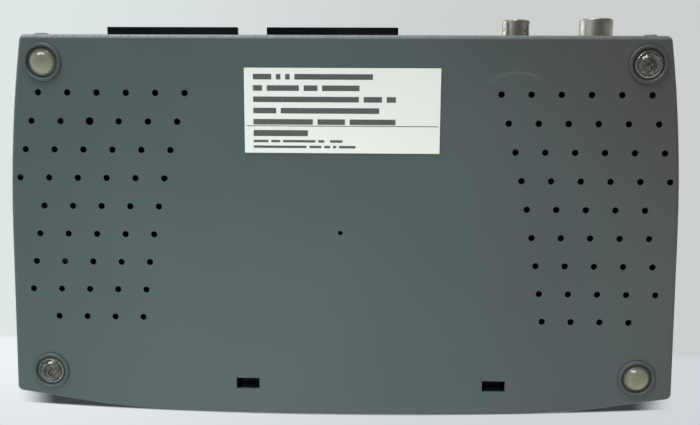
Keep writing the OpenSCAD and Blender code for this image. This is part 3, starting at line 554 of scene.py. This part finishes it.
def piece(name, points, faces, finish, body, slot, node=None, smooth=True):
    """A new mesh from points in millimetres and faces. It rides on body and may stand for a node."""
    mesh = bpy.data.meshes.new(name)
    mesh.from_pydata((np.asarray(points) * MM).tolist(), [], faces)
    mesh.polygons.foreach_set("use_smooth", np.full(len(mesh.polygons), smooth))
    mesh.materials.append(finish)
    made = placed(name, mesh)
    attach(made, body)
    if node:
        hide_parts(node)
    return made


def ring_quads(rows, columns):
    """Faces of a grid of rows by columns whose columns close into a ring."""
    r, c = np.meshgrid(np.arange(rows - 1), np.arange(columns), indexing="ij")
    nxt = (c + 1) % columns
    here, above = r * columns, (r + 1) * columns
    return np.stack((here + c, here + nxt, above + nxt, above + c), axis=-1).reshape(-1, 4)


def turned(profile, centre, sides=64):
    """A closed profile of (radius, height) turned about an upright axis.

    A point is centre + radius * (cos t, sin t, 0) + (0, 0, height), with t round the axis. The first
    and last points of the profile have radius 0 and close the two poles.
    """
    t = np.linspace(0.0, 2 * math.pi, sides, endpoint=False)
    ring = np.stack((np.cos(t), np.sin(t)), axis=-1)
    wall = np.asarray(profile)[1:-1]
    grid = np.empty((len(wall), sides, 3))
    grid[..., :2] = wall[:, None, :1] * ring
    grid[..., 2] = wall[:, None, 1]
    poles = np.array([[0.0, 0.0, profile[0][1]], [0.0, 0.0, profile[-1][1]]])
    points = np.concatenate((grid.reshape(-1, 3), poles)) + np.asarray(centre)
    first, last = len(points) - 2, len(points) - 1
    k = np.arange(sides)
    nxt = (k + 1) % sides
    base = (len(wall) - 1) * sides
    faces = ring_quads(len(wall), sides).tolist()
    faces += np.stack((np.full(sides, first), nxt, k), axis=-1).tolist()
    faces += np.stack((np.full(sides, last), base + k, base + nxt), axis=-1).tolist()
    return points, faces


def rounded(a, b, c, radius, steps=5):
    """Points of a curve that rounds the corner b between a and c by about radius.

    It is the quadratic (1 - s)^2 start + 2 s (1 - s) b + s^2 end, and start and end lie at radius
    from b, towards a and c.
    """
    a, b, c = (np.asarray(p, float) for p in (a, b, c))
    start = b + (a - b) / np.linalg.norm(a - b) * radius
    end = b + (c - b) / np.linalg.norm(c - b) * radius
    s = np.linspace(0.0, 1.0, steps)[:, None]
    return (start * (1 - s) ** 2 + b * 2 * s * (1 - s) + end * s**2).tolist()


def foot(node, clear):
    """Domed foot over its pad: a sphere's cap with a small flat crown, in a sloping skirt.

    The cap's profile is the circle of radius dome_r round the height centre_z, from the rim of the
    crown to the shoulder, where a rounded corner leads to the skirt.
    """
    crown, shoulder, shoulder_r, skirt, pad_t, cap_rows = 1.2, 4.0, 0.2, 0.6, 0.12, 22
    film_inset, film_lap, cushion_r, cushion_t = 0.05, 0.02, 3.85, 0.5
    low, high = corners(node)
    radius, tall = (high.x - low.x) / 2, high.z - low.z
    rise, seat = tall - skirt, tall - pad_t
    centre_z = (shoulder**2 - crown**2 + rise**2) / (2 * rise)
    dome_r = math.hypot(centre_z, crown)
    a = np.linspace(math.asin(crown / dome_r), math.asin(shoulder / dome_r), cap_rows)
    cap = np.stack((dome_r * np.sin(a), centre_z - dome_r * np.cos(a)), axis=-1)
    rim = radius - (radius - shoulder) * pad_t / skirt
    profile = [(0.0, 0.0), *cap[:-2].tolist()]
    profile += rounded(cap[-3], (shoulder, rise), (rim, seat), shoulder_r)
    profile += [(rim, seat), (0.0, seat)]
    centre = (*middle(node), low.z)
    body, slot = body_of[node], slot_of[node]
    gel, under = (CLEAR_GEL, ADHESIVE) if clear else (FINISHES["clear_foot"], CUSHION)
    dome = piece(node + "_dome", *turned(profile, centre), gel, body, slot, node)
    dome.visible_shadow = False
    film, cushion = (rim - film_inset, seat - film_lap), (cushion_r, tall - cushion_t)
    pad_r, pad_top = film if clear else cushion
    pad = [(0.0, pad_top), (pad_r, pad_top), (pad_r, tall), (0.0, tall)]
    piece(node + "_adhesive", *turned(pad, centre), under, body, slot, smooth=False)


for foot_node, is_clear in CLEAR_FOOT.items():
    foot(foot_node, is_clear)


def eased(node, width, sharp=32.0):
    """Copy of a node with its points merged, its curves smooth and its edges eased by a small bevel.

    An edge counts as sharp where its faces meet at more than sharp degrees.
    """
    mesh = nodes[node].data.copy()
    mesh.name = node + "_eased"
    work = bmesh.new()
    work.from_mesh(mesh)
    bmesh.ops.remove_doubles(work, verts=work.verts, dist=0.002 * MM)
    work.to_mesh(mesh)
    work.free()
    mesh.normals_split_custom_set([(0.0, 0.0, 0.0)] * len(mesh.loops))
    mesh.polygons.foreach_set("use_smooth", np.ones(len(mesh.polygons), bool))
    mesh.set_sharp_from_angle(angle=math.radians(sharp))
    made = placed(node + "_eased", mesh)
    bevel = made.modifiers.new("eased edges", "BEVEL")
    bevel.width = width * MM
    bevel.segments = 2
    bevel.limit_method = "ANGLE"
    bevel.angle_limit = math.radians(sharp)
    bevel.use_clamp_overlap = True
    bevel.harden_normals = True
    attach(made, body_of[node])
    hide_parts(node)


EASED = {
    "standby_button": 0.5,
    "channel_down_button": 0.5,
    "channel_up_button": 0.5,
    "scart_socket_tv": 0.25,
    "scart_socket_vcr": 0.25,
    "aerial_shell": 0.5,
    "loop_sleeve": 0.4,
}
for eased_node, bevel_width in EASED.items():
    eased(eased_node, bevel_width)


def stroke(name, button, path, width=0.55, height=0.10):
    """A low rounded line printed on a button's bowed face.

    The path is a list of (across, up) from the button's centre. A half ellipse of the given width and
    height is carried along it at right angles, and narrows to nothing at both ends. The face is a
    quadratic in x fitted to the front points of the button.
    """
    face_depth, lift = 1.2, 0.01
    mesh = nodes[button].data
    points = np.empty(3 * len(mesh.vertices))
    mesh.vertices.foreach_get("co", points)
    points = points.reshape(-1, 3) / MM
    face = points[points[:, 1] < points[:, 1].min() + face_depth]
    centre = (points.min(axis=0) + points.max(axis=0)) / 2
    bow = np.polyfit(face[:, 0] - centre[0], face[:, 1], 2)
    path = np.asarray(path, float)
    way = np.gradient(path, axis=0)
    way /= np.linalg.norm(way, axis=1, keepdims=True)
    aside = np.stack((way[:, 1], -way[:, 0]), axis=-1)
    run = np.concatenate(([0.0], np.cumsum(np.linalg.norm(np.diff(path, axis=0), axis=1))))
    tip = np.clip(np.minimum(run, run[-1] - run) / (width / 2), 0.0, 1.0)
    swell = np.sqrt(1.0 - (1.0 - tip) ** 2)
    a = np.linspace(0.0, math.pi, 9)
    flat = path[:, None] + aside[:, None] * (swell[:, None] * np.cos(a) * width / 2)[..., None]
    y = np.polyval(bow, flat[..., 0]) - lift - swell[:, None] * np.sin(a) * height
    grid = np.stack((flat[..., 0] + centre[0], y, flat[..., 1] + centre[2]), axis=-1)
    rows, columns = grid.shape[:2]
    k = np.arange(rows * columns).reshape(rows, columns)
    faces = np.stack((k[:-1, :-1], k[:-1, 1:], k[1:, 1:], k[1:, :-1]), axis=-1).reshape(-1, 4)
    points = grid.reshape(-1, 3)
    piece(name, points, faces.tolist(), MARK_PRINT, body_of[button], slot_of[button])


def bent(a, b, c, radius):
    """Path from a to c round the corner b: two straight runs with a rounded corner between them."""
    a, b, c = (np.asarray(p, float) for p in (a, b, c))
    s = np.linspace(0.0, 1.0, 12)[:, None]
    turn = np.asarray(rounded(a, b, c, radius, 9))
    return np.concatenate((a + (turn[0] - a) * s, turn[1:-1], turn[-1] + (c - turn[-1]) * s))


ring_r, arrow_r = 2.1, 0.4
ring_at = np.radians(np.linspace(125.0, 415.0, 49))
ring_path = ring_r * np.stack((np.cos(ring_at), np.sin(ring_at)), axis=-1)
up_path = bent((-1.9, -0.9), (0.0, 1.0), (1.9, -0.9), arrow_r)
down_path = bent((-1.9, 0.9), (0.0, -1.0), (1.9, 0.9), arrow_r)
stroke("standby_ring", "standby_button", ring_path)
stroke("standby_bar", "standby_button", np.linspace((0.0, 0.7), (0.0, 2.6), 16))
stroke("channel_up_arrow", "channel_up_button", up_path)
stroke("channel_down_arrow", "channel_down_button", down_path)


# Camera, stage and light


def photo_camera():
    """The photograph's camera: below the box and a little behind its middle, looking up."""
    eye = Vector((-8.51, REAR_Y - 25.9, -235.13)) * MM
    forward = Vector((0.0235, -0.1401, 0.9899)).normalized()
    picture_up = Vector((0.0089, 0.9901, 0.1399))
    right = forward.cross(picture_up).normalized()
    up = right.cross(forward)
    data = bpy.data.cameras.new("photo_camera")
    data.lens, data.sensor_width = 36.0, 36.0
    data.clip_start, data.clip_end = 0.01, 50.0
    camera = placed("photo_camera", data)
    turn = Matrix((right, up, -forward)).transposed().to_4x4()
    camera.matrix_world = Matrix.Translation(eye) @ turn
    bpy.context.scene.camera = camera
    return forward, right, up


def backdrop(forward, right, up):
    """Pale backdrop for the camera, and a soft even light from every side for the rest.

    Seen from below, the backdrop is a wall over a table: the table is what lies under a slanting line.
    """
    half_view, left_drop, right_drop = 0.5, 0.176, 0.206
    world = bpy.data.worlds.new("backdrop")
    bpy.context.scene.world = world
    world.use_nodes = True
    sky = Nodes(world.node_tree)
    sky.tree.nodes.clear()
    way = sky.node("ShaderNodeTexCoord", {}, "Generated")

    def along(vector):
        """How far a direction points along a vector."""
        ends = {0: way, 1: vector}
        return sky.node("ShaderNodeVectorMath", ends, "Value", operation="DOT_PRODUCT")

    left_end = forward - half_view * right - left_drop * up
    right_end = forward + half_view * right - right_drop * up
    table_side = left_end.cross(right_end).normalized()
    if table_side.dot(up) > 0:
        table_side.negate()
    # Painted light on the backdrop: wall and table grow darker from one side to the other, and the
    # near table is darker than the far.
    across = sky.ramp(along(right), -0.50, 0.25)
    wall = sky.mix(across, (0.74, 0.80, 0.80), (0.60, 0.63, 0.62))
    far_table = sky.mix(across, (0.85, 0.89, 0.92), (0.65, 0.67, 0.70))
    near_table = sky.mix(across, (0.76, 0.80, 0.83), (0.62, 0.66, 0.69))
    table = sky.mix(sky.ramp(along(table_side), 0.02, 0.12), far_table, near_table)
    from_below = sky.mix(sky.ramp(along(table_side), -0.002, 0.003), wall, table)
    upwards = sky.ramp(along((0.0, 0.0, 1.0)), 0.30, 0.42)
    shown = sky.mix(upwards, (0.80, 0.81, 0.82), from_below)
    down = along((0.0, 0.0, -1.0))
    window_side = sky.ramp(along((1.0, 0.3, 0.0)), -0.8, 0.8)
    low_light = sky.mix(window_side, (0.45, 0.43, 0.42), (0.86, 0.97, 0.97))
    under_light = sky.mix(sky.ramp(down, 0.35, 0.92), low_light, (0.15, 0.155, 0.15))
    light = sky.mix(sky.ramp(down, -0.10, 0.15), (0.62, 0.64, 0.66), under_light)
    seen = sky.node("ShaderNodeLightPath", {}, "Is Camera Ray")
    room_light = sky.node("ShaderNodeBackground", {"Color": light})
    picture = sky.node("ShaderNodeBackground", {"Color": shown})
    both = sky.node("ShaderNodeMixShader", {0: seen, 1: room_light, 2: picture})
    sky.tree.links.new(both, sky.tree.nodes.new("ShaderNodeOutputWorld").inputs[0])


def one_sided(name, colour, shown):
    """Matt finish that shows on the front of a face, as far as shown says, and not from behind."""
    f = Finish(name, specular_ior_level=0.0, roughness=0.9)
    f.set("base color", f.mix(f.noise(f.place(), 60.0), tint(colour, 0.98), colour))
    behind = f.node("ShaderNodeNewGeometry", {}, "Backfacing")
    f.set("alpha", f.times(shown(f), f.math("SUBTRACT", 1.0, behind)))
    return f.material


def sheet(name, points, finish):
    """A stage piece of one face: it is no part of the box, and throws no shadow."""
    mesh = bpy.data.meshes.new(name)
    mesh.from_pydata((np.asarray(points) * MM).tolist(), [], [(0, 1, 2, 3)])
    mesh.materials.append(finish)
    made = placed(name, mesh)
    made.visible_shadow = made.visible_diffuse = False
    made.visible_glossy = made.visible_transmission = False


def floor():
    """Pale floor under the feet, which shows from above only and fades out into the backdrop."""
    half, near, far, z = 1000.0, 200.0, 760.0, -0.05

    def fade(f):
        """Full near the box, and nothing far from it."""
        return f.ramp(f.distance(), near, far, 1.0, 0.0)

    finish = one_sided("floor", (0.62, 0.625, 0.63), fade)
    sheet("floor", [(-half, -half, z), (half, -half, z), (half, half, z), (-half, half, z)], finish)


def contact_shade():
    """Shade where the bowed front meets the table in the photograph: it fades towards both ends.

    Its outer line is y = bow * (x - vertex)^2 + lowest, with a little less bow on one side.
    """
    z, y0, y1, x1 = UNDERSIDE_Z + 1.3, FRONT_Y - 1.5, FRONT_Y + 9.0, 122.0
    vertex, lowest, soft = 9.7, FRONT_Y - 0.34, 0.4
    bow_minus_x, bow_plus_x = 2.4e-4, 2.755e-4
    fade_from, fade_to, strength = 103.0, 118.0, 0.95

    def wedge(f):
        """The strip behind the outer line, less towards both ends."""
        x, y, _ = f.split(f.place())
        off = f.math("SUBTRACT", x, vertex)
        bow = f.ramp(x, -40.0, 20.0, bow_minus_x, bow_plus_x)
        line = f.math("MULTIPLY_ADD", f.times(off, off), bow, lowest)
        inside = f.ramp(f.math("SUBTRACT", y, line), -soft, soft)
        ends = f.ramp(f.math("ABSOLUTE", x), fade_from, fade_to, strength, 0.0)
        return f.times(inside, ends)

    finish = one_sided("contact_shade", (0.010, 0.013, 0.016), wedge)
    sheet("contact_shade", [(-x1, y0, z), (-x1, y1, z), (x1, y1, z), (x1, y0, z)], finish)


def lamp(name, place, target, size, power, colour=(1.0, 1.0, 1.0), glint=True):
    """Soft rectangular lamp. Without glint it isn't mirrored in shiny pieces."""
    data = bpy.data.lights.new(name, "AREA")
    data.shape = "RECTANGLE"
    data.size, data.size_y = (s * MM for s in size)
    data.energy = power
    data.color = colour
    made = placed(name, data)
    made.visible_camera = False
    made.visible_glossy = made.visible_transmission = glint
    made.location = Vector(place) * MM
    made.rotation_mode = "QUATERNION"
    made.rotation_quaternion = (Vector(target) - Vector(place)).to_track_quat("-Z", "Y")


backdrop(*photo_camera())
floor()
contact_shade()
# The photograph's light: a window behind and below, the table's light, and a little fill
lamp("key_below", place=(220, 770, -150), target=(0, 30, 0), size=(600, 320), power=3.0,
     glint=False)
lamp("window_glint", place=(210, 720, -150), target=(0, 30, 0), size=(520, 260), power=4.5)
lamp("table_bounce", place=(60, -330, -220), target=(0, -30, 0), size=(640, 200), power=0.6,
     glint=False)
lamp("fill_below", place=(40, -72, -190), target=(30, -58, 0), size=(60, 60), power=0.30,
     colour=(0.95, 1.0, 1.0), glint=False)
lamp("warm_below", place=(-230, -40, -130), target=(-95, -40, 0), size=(120, 120), power=0.10,
     colour=(1.0, 0.35, 0.40), glint=False)
# Studio light for the sides and the top
lamp("key_above", place=(-320, -460, 600), target=(0, 0, 20), size=(560, 420), power=3.6)
lamp("side_above", place=(520, 120, 460), target=(0, 0, 20), size=(420, 420), power=1.6)

bpy.context.scene.view_settings.view_transform = "Standard"
